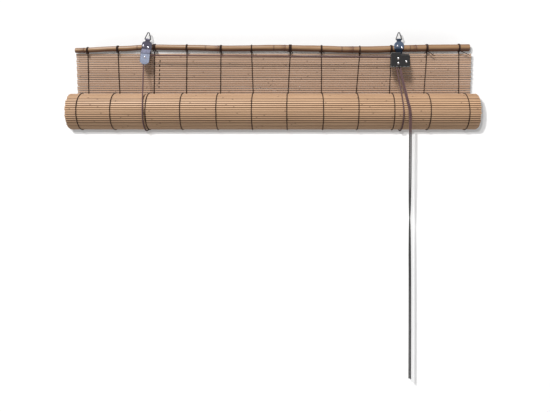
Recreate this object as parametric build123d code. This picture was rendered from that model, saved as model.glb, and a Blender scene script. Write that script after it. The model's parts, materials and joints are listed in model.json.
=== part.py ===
"""Bamboo roll-up blind, almost fully raised: a crooked bamboo head pole, a curtain of thin slats
tied with threads, the slats' roll in front of it, two wall hangers, a pulley, a cord lock and two
lift cords. Millimetres, +X right as seen from the room, -Y towards the room, +Z up. The origin is
midway between the two points at the top inside the rings where the wall hooks bear."""

from build123d import *
import math
import os

# ---- the woven curtain
blind_width = 798.0
slat_pitch = 4.4
slat_gap = 0.65
slat_thickness = 1.6
slat_chamfer = 0.3
slat_end_wander = 1.4
flat_slats = 26
curtain_lean = 4.5

# ---- the roll of slats and the pole rolled into its middle
roll_radius = 36.5
roll_turn_pitch = 2.6
bottom_pole_radius = 6.4
roll_core_clearance = 0.3
roll_axis_y = -21.0
roll_axis_drop = 157.3

# ---- the head pole: it tapers, wanders up and down, and swells at its nodes; the bends are (share of
# ---- the half width, rise) and the nodes are shares of the half width
pole_left_inset = 0.0
pole_right_inset = 5.0
pole_left_radius = 5.0
pole_right_radius = 7.25
pole_front_y = -1.0
pole_drop = 30.3
pole_node_swell = 0.45
pole_node_half_width = 2.2
POLE_BENDS = [(-1.0, -4.2), (-0.782, -0.8), (-0.617, 2.4), (-0.431, 1.4), (-0.231, -0.2), (0.023, 1.0),
              (0.175, -0.2), (0.376, -2.3), (0.501, -2.3), (0.689, 0.1), (0.827, 0.8), (1.0, 1.4)]
POLE_NODES = [-0.957, -0.281, 0.056, 0.398, 0.717]

# ---- the binding threads: how far each strays from even spacing where it is tied round the pole, and
# ---- where it meets the roll
thread_edge = 24.6
thread_width = 0.9
thread_depth = 0.5
thread_clearance = 0.1
THREAD_STRAYS = [(0.0, -1.6), (-7.5, -5.7), (-2.0, -6.0), (-4.8, -8.3), (-4.4, -6.9), (-10.8, -7.0),
                 (-1.0, -7.3), (-6.3, -5.7), (2.7, -6.0), (-1.9, -5.1), (1.7, -3.9), (-1.8, 1.2)]

# ---- the two wall hangers, each a folded strap holding a wire ring
ring_spacing = 502.0
left_hanger_lean = 6.8
right_hanger_lean = 0.0
wire_radius = 0.9
ring_bar_drop = 13.4
ring_side_lean = 20.0
ring_apex_radius = 1.6
ring_corner_radius = 1.1
ring_clearance = 0.1
strap_thickness = 1.0
neck_width = 8.4
neck_tail = 4.5
shoulder_radius = 10.1
shoulder_drop = 27.4
left_leg_width = 16.0
right_leg_width = 13.0
left_leg_drop = 62.0
right_leg_drop = 67.5
LEFT_NAILS = [(-6.9, -26.9), (2.7, -29.1)]
RIGHT_NAILS = [(-3.2, -26.0), (6.4, -30.0)]
nail_radius = 0.9
nail_length = 7.5
nail_head_radius = 2.4
nail_head_height = 1.3

# ---- what runs on the hangers
cord_diameter = 2.4
groove_clearance = 0.3
groove_wall = 0.5
wheel_side_gap = 0.3
bore_clearance = 0.05
rivet_head_radius = 2.4
rivet_head_height = 1.2
back_head_height = 0.9

pulley_drop = 49.8
pulley_pitch_radius = 4.0
pulley_flange_radius = 5.4
pulley_axle_radius = 1.25
cover_thickness = 0.8
cover_width = 19.0
cover_face_top = 41.2
cover_foot_drop = 33.2
cover_foot = 1.4
cover_bottom = 64.0
cover_bottom_radius = 10.25

lock_left_reach = 17.6
lock_right_reach = 20.2
lock_left_top = 40.5
lock_right_top = 46.2
lock_back_top = 42.5
lock_bottom = 69.3
lock_step = 1.4
lock_sheet = 0.8
lock_bend_radius = 1.2
lock_axle_radius = 1.2
lock_wheel_offset = -3.0
lock_wheel_drop = 52.2
lock_wheel_pitch_radius = 3.5
lock_wheel_flange_radius = 4.7
lock_groove_spacing = 3.6
lock_roller_drop = 61.7
lock_roller_radius = 2.0
cam_pivot_offset = 12.9
cam_pivot_drop = 58.4
cam_cord_gap = 0.3
cam_nose_height = 4.4
cam_nose_length = 2.6
cam_arm_height = 2.4
cam_hub_radius = 2.6
cam_tail_radius = 6.1
cam_tail_rise = 10.0
cam_tooth = 0.7
cam_teeth = 4

# ---- how the lift cords' upper ends are held behind the pole
staple_wire_radius = 0.6
staple_leg_depth = 4.0
staple_clearance = 0.1
staple_cord_gap = 0.3
left_staple_drop = 28.6
right_staple_drop = 30.8

# ---- the lift cords' routes, from behind the pole to the ends of the pull strands
LEFT_CORD = [
    (-250.4, 11.4, -23.5), (-250.4, 11.4, -36.0), (-250.2, 17.5, -168.1), (-249.8, 3.7, -188.7),
    (-249.5, -19.4, -197.2), (-249.1, -43.2, -190.5), (-248.8, -58.5, -171.1), (-248.6, -59.4, -146.4),
    (-260.2, -4.6, -65.0), (-260.8, -4.3, -57.5), (-260.8, -4.3, -48.4), (-259.7, -4.3, -46.5),
    (-257.9, -4.3, -45.4), (248.9, -5.1, -48.7), (250.6, -5.1, -49.6), (251.5, -5.1, -51.3),
    (251.5, -5.1, -63.6), (250.6, -5.4, -70.0), (256.6, -55.0, -140.6), (259.6, -59.0, -152.0),
    (260.2, -59.1, -182.0), (260.2, -57.7, -330.0), (263.1, -57.6, -384.0), (263.1, -59.1, -520.0),
    (262.9, -59.0, -672.0),
]
RIGHT_CORD = [
    (249.0, 14.2, -23.5), (249.0, 14.2, -38.0), (249.0, 17.2, -168.8), (249.1, 3.2, -189.0),
    (249.2, -19.9, -197.2), (249.4, -43.5, -190.3), (249.5, -58.5, -170.9), (249.4, -59.4, -146.4),
    (244.6, -8.9, -71.0), (244.5, -8.7, -62.0), (244.5, -8.7, -51.1), (245.8, -8.7, -49.2),
    (248.0, -8.7, -48.5), (250.2, -8.7, -49.2), (251.5, -8.7, -51.1), (251.5, -8.7, -63.6),
    (252.5, -8.8, -71.0), (259.4, -55.6, -141.4), (262.5, -59.0, -152.4), (263.1, -59.2, -182.0),
    (263.1, -60.6, -330.0), (260.2, -60.7, -384.0), (260.2, -59.1, -520.0), (260.3, -59.0, -670.5),
]

# ---- values worked out from the sizes above
left_hanger_x = -ring_spacing / 2
right_hanger_x = ring_spacing / 2
lock_left = right_hanger_x - lock_left_reach
lock_right = right_hanger_x + lock_right_reach
lock_step_x = right_hanger_x + lock_step
lock_wheel_x = right_hanger_x + lock_wheel_offset
cam_pivot_x = right_hanger_x + cam_pivot_offset
slat_height = slat_pitch - slat_gap
half_width = blind_width / 2
pole_left_end = -half_width + pole_left_inset
pole_right_end = half_width - pole_right_inset
thread_spacing = (blind_width - 2 * thread_edge) / (len(THREAD_STRAYS) - 1)
thread_spots = [-half_width + thread_edge + k * thread_spacing for k in range(len(THREAD_STRAYS))]
thread_ties = [x + stray for x, (stray, _) in zip(thread_spots, THREAD_STRAYS)]
thread_feet = [x + stray for x, (_, stray) in zip(thread_spots, THREAD_STRAYS)]
pole_bends = [(share * half_width, rise) for share, rise in POLE_BENDS]
pole_nodes = [share * half_width for share in POLE_NODES]
lean = math.radians(curtain_lean)
turn_mid_radius = roll_radius - slat_thickness / 2
strap_front_y = -ring_clearance - wire_radius - strap_thickness
strap_back_y = strap_front_y + strap_thickness
fold_radius = wire_radius + ring_clearance + strap_thickness
groove_radius = cord_diameter / 2 + groove_clearance
pulley_width = 2 * (groove_radius + groove_wall)
lock_wheel_width = pulley_width + lock_groove_spacing
pulley_y = strap_front_y - wheel_side_gap - pulley_width / 2
cover_inner_y = pulley_y - pulley_width / 2 - wheel_side_gap
cover_front_y = cover_inner_y - cover_thickness
lock_back_y = strap_front_y - lock_sheet
lock_wheel_y = lock_back_y - wheel_side_gap - lock_wheel_width / 2
lock_inner_y = lock_wheel_y - lock_wheel_width / 2 - wheel_side_gap
lock_front_y = lock_inner_y - lock_sheet
curtain_place = Location(
    (0, roll_axis_y + turn_mid_radius * math.cos(lean), -roll_axis_drop + turn_mid_radius * math.sin(lean)),
    (curtain_lean, 0, 0),
)
left_place = Location((left_hanger_x, 0, 0), (0, left_hanger_lean, 0))
right_place = Location((right_hanger_x, 0, 0), (0, right_hanger_lean, 0))


# ---- small helpers
def along_x(radius, x_from, x_to, y, z):
    """A rod whose axis runs along X."""
    return Plane(origin=(x_from, y, z), z_dir=(1, 0, 0)) * Cylinder(
        radius, x_to - x_from, align=(Align.CENTER, Align.CENTER, Align.MIN)
    )


def along_y(radius, y_from, y_to, x, z):
    """A rod whose axis runs along Y."""
    return Plane(origin=(x, y_from, z), z_dir=(0, 1, 0)) * Cylinder(
        radius, y_to - y_from, align=(Align.CENTER, Align.CENTER, Align.MIN)
    )


def block(x_from, x_to, y_from, y_to, z_from, z_to):
    """A box given by its six faces."""
    size = (x_to - x_from, y_to - y_from, z_to - z_from)
    return Pos(x_from, y_from, z_from) * Box(*size, align=(Align.MIN, Align.MIN, Align.MIN))


def plate(outline, y_from, y_to):
    """A flat plate facing -Y, from its (x, z) outline."""
    face = make_face(Polyline([(x, y_from, z) for x, z in outline], close=True))
    return extrude(face, amount=y_to - y_from, dir=(0, 1, 0))


def rail(section, x_from, x_to):
    """A straight bar along X, from its (y, z) section."""
    face = make_face(Polyline([(x_from, y, z) for y, z in section], close=True))
    return extrude(face, amount=x_to - x_from, dir=(1, 0, 0))


def domed_head(radius, height, y_seat, x, z):
    """A round rivet or nail head that stands on y_seat and points to -Y."""
    dome_radius = (radius**2 + height**2) / (2 * height)
    ball = Pos(x, y_seat - height + dome_radius, z) * Sphere(dome_radius)
    return ball & along_y(radius, y_seat - height - 1, y_seat, x, z)


def save(shape, node):
    """Writes one node as parts/NODE.step."""
    export_step(shape, f"parts/{node}.step")
    nodes[node] = shape


# ---- the head pole
def pole_height(x):
    """Height of the pole's middle at x, eased between its bends."""
    for (x0, z0), (x1, z1) in zip(pole_bends, pole_bends[1:]):
        if x <= x1:
            share = (1 - math.cos(math.pi * max(x - x0, 0) / (x1 - x0))) / 2
            return -pole_drop + z0 + (z1 - z0) * share
    return -pole_drop + pole_bends[-1][1]


def pole_radius(x):
    """The pole's radius at x, which tapers evenly from end to end."""
    share = (x - pole_left_end) / (pole_right_end - pole_left_end)
    return pole_left_radius + (pole_right_radius - pole_left_radius) * share


def pole_middle_y(x):
    """The pole's front stays in line, so that both hangers lie flat on it."""
    return pole_front_y + pole_radius(x)


def head_pole():
    stations = {x: 0.0 for x in thread_ties}
    for (x0, _), (x1, _) in zip(pole_bends, pole_bends[1:]):
        for quarter in range(4):
            stations[x0 + (x1 - x0) * quarter / 4] = 0.0
    stations = {x: 0.0 for x in stations if pole_left_end < x < pole_right_end}
    stations[pole_left_end] = stations[pole_right_end] = 0.0
    for node_x in pole_nodes:
        for x in [x for x in stations if abs(x - node_x) <= 2 * pole_node_half_width]:
            del stations[x]
        stations[node_x - pole_node_half_width] = 0.0
        stations[node_x] = pole_node_swell
        stations[node_x + pole_node_half_width] = 0.0
    sections = []
    for x in sorted(stations):
        place = Plane(origin=(x, pole_middle_y(x), pole_height(x)), z_dir=(1, 0, 0))
        sections.append(place * Circle(pole_radius(x) + stations[x]))
    pole = loft(sections, ruled=True)
    for place, spots in ((left_place, LEFT_NAILS), (right_place, RIGHT_NAILS)):
        for x, z in spots:
            pole -= place * along_y(nail_radius, strap_front_y, strap_front_y + nail_length, x, z)
    for x, z, back_y in staple_spots():
        pole -= staple(x, z, back_y)
    return pole


# ---- the flat part of the curtain and its threads
def slat(index):
    """One slat with chamfered long edges; its ends wander a little from slat to slat."""
    middle = (flat_slats - index - 0.5) * slat_pitch
    y, z, c = slat_thickness / 2, slat_height / 2, slat_chamfer
    section = [(-y, -z + c), (-y + c, -z), (y - c, -z), (y, -z + c),
               (y, z - c), (y - c, z), (-y + c, z), (-y, z - c)]
    left = -half_width + slat_end_wander * abs(math.sin(2.1 * index + 0.4))
    right = half_width - slat_end_wander * abs(math.sin(1.7 * index + 1.9))
    return curtain_place * rail([(a, b + middle) for a, b in section], left, right)


def thread(tie_x, foot_x):
    """One binding thread: a strand in front, one behind, a cross-over in every gap, a tie on the pole."""
    top = flat_slats * slat_pitch
    near = slat_thickness / 2 + thread_clearance
    far = near + thread_depth
    half = thread_width / 2
    rung_half = slat_gap / 2 - thread_clearance

    def x_at(z):
        return foot_x + (tie_x - foot_x) * z / top

    outline = [(x_at(0) - half, rung_half), (x_at(0) + half, rung_half),
               (tie_x + half, top + rung_half), (tie_x - half, top + rung_half)]
    strands = plate(outline, -far, -near) + plate(outline, near, far)
    rungs = []
    for k in range(1, flat_slats + 1):
        z = k * slat_pitch
        x = x_at(z)
        rungs.append(block(x - half, x + half, -far, far, z - rung_half, z + rung_half))
    ladder = curtain_place * (strands + rungs)
    y, z, radius = pole_middle_y(tie_x), pole_height(tie_x), pole_radius(tie_x) + thread_clearance
    tie = along_x(radius + thread_width, tie_x - half, tie_x + half, y, z)
    tie -= along_x(radius, tie_x - thread_width, tie_x + thread_width, y, z)
    rung_z = (curtain_place * Pos(0, 0, top)).position.Z
    link = block(tie_x - half, tie_x + half, y - half, y + half, rung_z - rung_half, z - radius - half)
    return ladder + link + tie


# ---- the roll
def bamboo_roll():
    """All the turns as one strip wound inwards, with one flat for each slat."""
    inner_radius = bottom_pole_radius + roll_core_clearance + slat_thickness / 2
    radius, turned = turn_mid_radius, 0.0
    outside, inside = [], []
    while radius > inner_radius:
        angle = lean - turned
        for side, offset in ((outside, slat_thickness / 2), (inside, -slat_thickness / 2)):
            r = radius + offset
            side.append((roll_axis_y + r * math.cos(angle), -roll_axis_drop + r * math.sin(angle)))
        turned += 2 * math.asin(slat_pitch / 2 / radius)
        radius = turn_mid_radius - roll_turn_pitch * turned / (2 * math.pi)
    return rail(outside + inside[::-1], -half_width, half_width)


def bottom_pole():
    return along_x(bottom_pole_radius, -half_width, half_width, roll_axis_y, -roll_axis_drop)


# ---- hangers, in a frame of their own whose origin is the point that the wall hook bears on
def ring():
    """A triangle of round wire with rounded corners."""
    side = math.radians(ring_side_lean)
    apex_middle = wire_radius - ring_apex_radius
    half = ring_apex_radius / math.cos(side) + (apex_middle + ring_bar_drop) * math.tan(side)
    tip = apex_middle + ring_apex_radius / math.sin(side)
    corners = [(-half, 0, -ring_bar_drop), (half, 0, -ring_bar_drop), (0, 0, tip)]
    radii = [ring_corner_radius, ring_corner_radius, ring_apex_radius]
    path = FilletPolyline(*corners, radius=radii, close=True)
    start = path.edges().sort_by(Axis.Z)[0]
    section = Plane(origin=start @ 0, z_dir=start % 0) * Circle(wire_radius)
    return sweep(section, path=path)


def strap(leg_width, leg_drop, holes):
    """A steel strap: folded over the ring's bar, round-shouldered where it is nailed, with a long leg."""
    fold = along_x(fold_radius, -neck_width / 2, neck_width / 2, 0, -ring_bar_drop)
    fold -= block(-neck_width, neck_width, -fold_radius, fold_radius,
                  -ring_bar_drop - fold_radius, -ring_bar_drop)
    fold += block(-neck_width / 2, neck_width / 2, strap_front_y, strap_back_y,
                  -shoulder_drop, -ring_bar_drop)
    fold += block(-neck_width / 2, neck_width / 2, -strap_back_y, -strap_front_y,
                  -ring_bar_drop - neck_tail, -ring_bar_drop)
    fold -= along_x(wire_radius + ring_clearance, -neck_width, neck_width, 0, -ring_bar_drop)
    shoulder = along_y(shoulder_radius, strap_front_y, strap_back_y, 0, -shoulder_drop)
    leg = block(-leg_width / 2, leg_width / 2, strap_front_y, strap_back_y, -leg_drop, -shoulder_drop)
    leg = fillet(leg.edges().filter_by(Axis.Y).group_by(Axis.Z)[0], leg_width / 4)
    body = fold + shoulder + leg
    for x, z, radius in holes:
        body -= along_y(radius, strap_front_y - 1, strap_back_y + 1, x, z)
    return body


def nails(spots):
    """Round-headed nails through a strap's shoulder."""
    made = []
    for x, z in spots:
        shank = along_y(nail_radius, strap_front_y, strap_front_y + nail_length, x, z)
        made.append(shank + domed_head(nail_head_radius, nail_head_height, strap_front_y, x, z))
    return Compound(made)


def rivet(radius, front_y, back_y, x, z):
    """A headed axle through two plates: domed in front, peened flat behind."""
    pin = along_y(radius, front_y, back_y, x, z)
    pin += domed_head(rivet_head_radius, rivet_head_height, front_y, x, z)
    return pin + along_y(rivet_head_radius * 0.8, back_y, back_y + back_head_height, x, z)


def grooved_wheel(pitch_radius, flange_radius, bore_radius, width, y_middle, grooves, x, z):
    """A wheel on a Y axis with one round-bottomed groove for each y in grooves."""
    wheel = along_y(flange_radius, y_middle - width / 2, y_middle + width / 2, x, z)
    for y in grooves:
        wheel -= Pos(x, y, z) * Rot(90, 0, 0) * Torus(pitch_radius, groove_radius)
        rim = along_y(flange_radius + 1, y - groove_radius, y + groove_radius, x, z)
        wheel -= rim - along_y(pitch_radius, y - groove_radius, y + groove_radius, x, z)
    return wheel - along_y(bore_radius, y_middle - width, y_middle + width, x, z)


# ---- the left hanger's pulley
def pulley_housing():
    """A pressed cover: a flat face with a round bottom, and a sloping band that meets the strap."""
    section = [
        (cover_front_y, -cover_bottom), (cover_front_y, -cover_face_top),
        (strap_front_y, -cover_foot_drop), (strap_front_y, -cover_foot_drop - cover_foot),
        (cover_inner_y, -cover_face_top - cover_thickness), (cover_inner_y, -cover_bottom),
    ]
    sheet = rail(section, -cover_width / 2, cover_width / 2)
    middle = cover_bottom - cover_bottom_radius
    round_end = along_y(cover_bottom_radius, cover_front_y, strap_front_y, 0, -middle)
    upper = block(-cover_width / 2, cover_width / 2, cover_front_y, strap_front_y, -middle, -cover_foot_drop)
    sheet = sheet & (round_end + upper)
    return sheet - along_y(pulley_axle_radius, cover_front_y - 1, strap_front_y, 0, -pulley_drop)


# ---- the right hanger's cord lock
def lock_housing():
    """One folded sheet: back plate, right side and stepped front plate, open left, above and below."""
    back = block(lock_left, lock_right, lock_back_y, strap_front_y, -lock_bottom, -lock_back_top)
    side = block(lock_right - lock_sheet, lock_right, lock_front_y, strap_front_y, -lock_bottom, -lock_right_top)
    outline = [(lock_left, -lock_bottom), (lock_right, -lock_bottom), (lock_right, -lock_right_top),
               (lock_step_x, -lock_right_top), (lock_step_x, -lock_left_top), (lock_left, -lock_left_top)]
    front = plate(outline, lock_front_y, lock_inner_y)
    body = back + side + front
    corner = body.edges().filter_by(Axis.Z).filter_by_position(Axis.X, lock_right - 0.01, lock_right + 0.01)
    corner = corner.filter_by_position(Axis.Y, lock_front_y - 0.01, lock_front_y + 0.01)
    body = fillet(corner, lock_bend_radius)
    for x, z in lock_rivet_spots():
        body -= along_y(lock_axle_radius, lock_front_y - 1, strap_front_y + 1, x, z)
    return body


def lock_rivet_spots():
    """Places of the wheel's, the roller's and the cam's rivets."""
    return [(lock_wheel_x, -lock_wheel_drop), (lock_wheel_x, -lock_roller_drop),
            (cam_pivot_x, -cam_pivot_drop)]


def lock_rivets():
    (wheel_x, wheel_z), (roller_x, roller_z), (cam_x, cam_z) = lock_rivet_spots()
    return Compound([
        rivet(lock_axle_radius, lock_front_y, strap_back_y, wheel_x, wheel_z),
        rivet(lock_axle_radius, lock_front_y, strap_back_y, roller_x, roller_z),
        rivet(lock_axle_radius, lock_front_y, strap_front_y, cam_x, cam_z),
    ])


def lock_roller():
    y_from, y_to = lock_wheel_y - lock_wheel_width / 2, lock_wheel_y + lock_wheel_width / 2
    roller = along_y(lock_roller_radius, y_from, y_to, lock_wheel_x, -lock_roller_drop)
    bore = lock_axle_radius + bore_clearance
    return roller - along_y(bore, y_from - 1, y_to + 1, lock_wheel_x, -lock_roller_drop)


def lock_cam():
    """A toothed nose that presses the strands on the roller, with a heavier tail beyond its pivot."""
    y_from, y_to = lock_wheel_y - lock_wheel_width / 2, lock_wheel_y + lock_wheel_width / 2
    nose_x = lock_wheel_x + lock_wheel_pitch_radius + cord_diameter / 2 + cam_cord_gap
    nose_z = -lock_roller_drop
    low, high = nose_z - cam_nose_height / 2, nose_z + cam_nose_height / 2
    arm, neck_x = cam_arm_height / 2, nose_x + cam_nose_length
    outline = [(cam_pivot_x, -cam_pivot_drop + arm), (neck_x, nose_z + arm), (neck_x, high), (nose_x, high)]
    step = cam_nose_height / cam_teeth
    for k in range(cam_teeth):
        outline.append((nose_x + cam_tooth, high - (k + 0.5) * step))
        outline.append((nose_x, high - (k + 1) * step))
    outline += [(neck_x, low), (neck_x, nose_z - arm), (cam_pivot_x, -cam_pivot_drop - arm)]
    cam = plate(outline, y_from, y_to)
    cam += along_y(cam_hub_radius, y_from, y_to, cam_pivot_x, -cam_pivot_drop)
    right_half = block(cam_pivot_x, cam_pivot_x + cam_tail_radius, y_from, y_to,
                       -cam_pivot_drop - cam_tail_radius, -cam_pivot_drop)
    cam += along_y(cam_tail_radius, y_from, y_to, cam_pivot_x, -cam_pivot_drop) & right_half
    cam += block(cam_pivot_x, cam_pivot_x + cam_tail_radius, y_from, y_to,
                 -cam_pivot_drop, -cam_pivot_drop + cam_tail_rise)
    bore = lock_axle_radius + bore_clearance
    return cam - along_y(bore, y_from - 1, y_to + 1, cam_pivot_x, -cam_pivot_drop)


# ---- staples and cords
def staple_spots():
    """x, z and the pole's back at each staple."""
    spots = [(LEFT_CORD[0][0], -left_staple_drop), (RIGHT_CORD[0][0], -right_staple_drop)]
    return [(x, z, pole_middle_y(x) + pole_radius(x)) for x, z in spots]


def staple(x, z, back_y):
    """A wire staple over the cord, with its legs in the pole's back."""
    reach = cord_diameter / 2 + staple_clearance + staple_wire_radius
    crown_y = back_y + staple_cord_gap + cord_diameter / 2 + reach
    leg_y = back_y - staple_leg_depth
    crown = along_x(staple_wire_radius, x - reach, x + reach, crown_y, z)
    legs = [along_y(staple_wire_radius, leg_y, crown_y, x - reach, z),
            along_y(staple_wire_radius, leg_y, crown_y, x + reach, z)]
    knuckles = [Pos(x - reach, crown_y, z) * Sphere(staple_wire_radius),
                Pos(x + reach, crown_y, z) * Sphere(staple_wire_radius)]
    return crown + legs + knuckles


def cord(points, name):
    """A tube of straight runs joined by arcs as large as the runs beside them allow."""
    spots = [Vector(*p) for p in points]
    radii = []
    for before, here, after in zip(spots, spots[1:], spots[2:]):
        turn = math.radians((here - before).get_angle(after - here))
        shorter = min((here - before).length, (after - here).length)
        radii.append(0.45 * shorter / math.tan(turn / 2))
    path = FilletPolyline(*points, radius=radii)
    section = Plane(origin=path @ 0, z_dir=path % 0) * Circle(cord_diameter / 2)
    tube = sweep(section, path=path)
    expected = math.pi * cord_diameter**2 / 4 * path.length
    print(name, "length", round(path.length, 1), "volume share", round(tube.volume / expected, 4),
          "radii", [round(r, 1) for r in radii])
    return tube


# ---- everything is built and written
os.makedirs("parts", exist_ok=True)
nodes = {}

save(head_pole(), "head_pole")
for number in range(flat_slats):
    save(slat(number), f"slat_{number + 1:02d}")
for number, (tie_spot, foot_spot) in enumerate(zip(thread_ties, thread_feet)):
    save(thread(tie_spot, foot_spot), f"thread_{number + 1:02d}")
save(bamboo_roll(), "bamboo_roll")
save(bottom_pole(), "bottom_pole")

pulley_bore = pulley_axle_radius + bore_clearance
left_holes = [(x, z, nail_radius) for x, z in LEFT_NAILS] + [(0, -pulley_drop, pulley_axle_radius)]
save(left_place * ring(), "left_ring")
save(left_place * strap(left_leg_width, left_leg_drop, left_holes), "left_hanger_strap")
save(left_place * nails(LEFT_NAILS), "left_hanger_nails")
save(left_place * pulley_housing(), "pulley_housing")
save(left_place * grooved_wheel(pulley_pitch_radius, pulley_flange_radius, pulley_bore, pulley_width,
                                pulley_y, [pulley_y], 0, -pulley_drop), "pulley_wheel")
save(left_place * rivet(pulley_axle_radius, cover_front_y, strap_back_y, 0, -pulley_drop), "pulley_axle")

right_holes = [(x, z, nail_radius) for x, z in RIGHT_NAILS]
right_holes += [(x - right_hanger_x, z, lock_axle_radius) for x, z in lock_rivet_spots()[:2]]
save(right_place * ring(), "right_ring")
save(right_place * strap(right_leg_width, right_leg_drop, right_holes), "right_hanger_strap")
save(right_place * nails(RIGHT_NAILS), "right_hanger_nails")
save(lock_housing(), "lock_housing")
lock_grooves = [lock_wheel_y - lock_groove_spacing / 2, lock_wheel_y + lock_groove_spacing / 2]
save(grooved_wheel(lock_wheel_pitch_radius, lock_wheel_flange_radius, lock_axle_radius + bore_clearance,
                   lock_wheel_width, lock_wheel_y, lock_grooves, lock_wheel_x, -lock_wheel_drop), "lock_wheel")
save(lock_roller(), "lock_roller")
save(lock_cam(), "lock_cam")
save(lock_rivets(), "lock_rivets")

save(Compound([staple(*spot) for spot in staple_spots()]), "cord_staples")
save(cord(LEFT_CORD, "left_lift_cord"), "left_lift_cord")
save(cord(RIGHT_CORD, "right_lift_cord"), "right_lift_cord")
print(len(nodes), "nodes; groove planes", round(pulley_y, 2), [round(y, 2) for y in lock_grooves])
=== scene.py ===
import json
import math
import random

import bmesh
import bpy
from mathutils import Matrix, Vector, noise


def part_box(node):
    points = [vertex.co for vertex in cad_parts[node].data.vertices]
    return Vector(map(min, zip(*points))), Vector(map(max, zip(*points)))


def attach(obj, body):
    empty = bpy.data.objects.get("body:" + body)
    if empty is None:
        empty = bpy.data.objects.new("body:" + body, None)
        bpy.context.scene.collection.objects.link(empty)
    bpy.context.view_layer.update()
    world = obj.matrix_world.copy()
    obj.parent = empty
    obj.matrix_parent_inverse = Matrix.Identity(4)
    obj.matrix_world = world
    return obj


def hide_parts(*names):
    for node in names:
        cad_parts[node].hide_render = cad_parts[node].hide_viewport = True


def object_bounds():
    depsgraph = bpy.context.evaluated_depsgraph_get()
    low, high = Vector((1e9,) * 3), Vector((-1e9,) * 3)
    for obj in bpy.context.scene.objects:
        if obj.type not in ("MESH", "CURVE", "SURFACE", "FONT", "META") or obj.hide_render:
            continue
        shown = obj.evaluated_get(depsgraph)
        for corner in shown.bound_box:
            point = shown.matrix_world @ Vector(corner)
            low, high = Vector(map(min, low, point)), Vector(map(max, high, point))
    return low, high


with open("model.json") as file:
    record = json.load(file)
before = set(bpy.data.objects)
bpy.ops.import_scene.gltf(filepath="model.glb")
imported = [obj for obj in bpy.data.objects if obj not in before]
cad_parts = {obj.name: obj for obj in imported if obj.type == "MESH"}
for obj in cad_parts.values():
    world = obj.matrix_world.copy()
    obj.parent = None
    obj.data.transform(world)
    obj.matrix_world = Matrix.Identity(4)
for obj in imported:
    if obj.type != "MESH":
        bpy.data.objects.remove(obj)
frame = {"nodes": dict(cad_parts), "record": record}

cad_low, cad_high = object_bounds()
scene = bpy.context.scene
scene.view_settings.view_transform = "Standard"
mm = 0.001

# ---- sizes of the woven curtain, in millimetres as a maker says them
slat_pitch = 4.4
roll_slat_pitch = 4.1
slat_height = 3.95
slat_thickness = 1.6
slat_count = 26
curtain_lean = math.radians(4.5)
roll_radius = 36.5
roll_turn_pitch = 2.6
roll_core_radius = 7.5
outer_turn_slats = 57
thread_count = 12
thread_radius = 0.88
tie_radius = 0.74 * thread_radius
tail_radius = 0.85 * thread_radius
tie_gap = 0.1
pole_ridge = 0.45

# ---- sizes of the hardware
cord_diameter = 2.4
wire_radius = 0.9
ring_bar_drop = 13.4
left_hanger_lean = math.radians(6.8)

# ---- the lift cords' routes, from behind the pole to the ends of the pull strands
LEFT_CORD = [
    (-250.4, 11.4, -23.5), (-250.4, 11.4, -36.0), (-250.2, 17.5, -168.1), (-249.8, 3.7, -188.7),
    (-249.5, -19.4, -197.2), (-249.1, -43.2, -190.5), (-248.8, -58.5, -171.1),
    (-248.6, -59.4, -146.4), (-260.2, -4.6, -65.0), (-260.8, -4.3, -57.5), (-260.8, -4.3, -48.4),
    (-259.7, -4.3, -46.5), (-257.9, -4.3, -45.4), (-243.6, -4.3, -45.5), (234.5, -5.1, -48.6),
    (248.9, -5.1, -48.7), (250.6, -5.1, -49.6), (251.5, -5.1, -51.3), (251.5, -5.1, -63.6),
    (250.6, -5.4, -70.0), (256.6, -55.0, -140.6), (259.6, -59.0, -152.0), (260.7, -59.1, -182.0),
    (260.0, -57.7, -330.0), (262.6, -57.6, -384.0), (263.7, -59.1, -520.0), (263.7, -59.0, -672.0),
]
RIGHT_CORD = [
    (249.0, 14.2, -23.5), (249.0, 14.2, -38.0), (249.0, 17.2, -168.8), (249.1, 3.2, -189.0),
    (249.2, -19.9, -197.2), (249.4, -43.5, -190.3), (249.5, -58.5, -170.9), (249.4, -59.4, -146.4),
    (244.6, -8.9, -71.0), (244.5, -8.7, -62.0), (244.5, -8.7, -51.1), (245.8, -8.7, -49.2),
    (248.0, -8.7, -48.5), (250.2, -8.7, -49.2), (251.5, -8.7, -51.1), (251.5, -8.7, -63.6),
    (252.5, -8.8, -71.0), (259.4, -55.6, -141.4), (262.5, -59.0, -152.4), (263.4, -59.2, -182.0),
    (262.6, -60.6, -330.0), (259.6, -60.7, -384.0), (261.0, -59.1, -520.0), (261.0, -59.0, -670.5),
]


# ==== shape helpers ====================================================================
def ramp(value, low, high):
    """How far a value is from low to high, kept between 0 and 1."""
    return min(max((value - low) / (high - low), 0), 1)


class Shape:
    """One piece's points and faces, gathered part by part; marks are values kept at each point."""

    def __init__(self):
        self.points, self.faces, self.marks = [], [], {}

    def add(self, rings, closed=False, capped=True, **marks):
        """Joins equal rings of points in order; a mark is one value, or one for each ring."""
        first, sides, count = len(self.points), len(rings[0]), len(rings)
        for ring in rings:
            self.points.extend(ring)
        for name in set(marks) | set(self.marks):
            kept = self.marks.setdefault(name, [0.5] * first)
            value = marks.get(name, 0.5)
            for i in range(count):
                here = value[i] if isinstance(value, list) else value
                kept.extend(here if isinstance(here, list) else [here] * sides)
        for i in range(count if closed else count - 1):
            a, b = first + i * sides, first + (i + 1) % count * sides
            for j in range(sides):
                k = (j + 1) % sides
                self.faces.append((a + j, a + k, b + k, b + j))
        if capped and not closed:
            self.faces.append(tuple(first + j for j in reversed(range(sides))))
            self.faces.append(tuple(first + (count - 1) * sides + j for j in range(sides)))
        return self

    def moved(self, matrix):
        self.points = [matrix @ Vector(p) for p in self.points]
        return self


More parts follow.
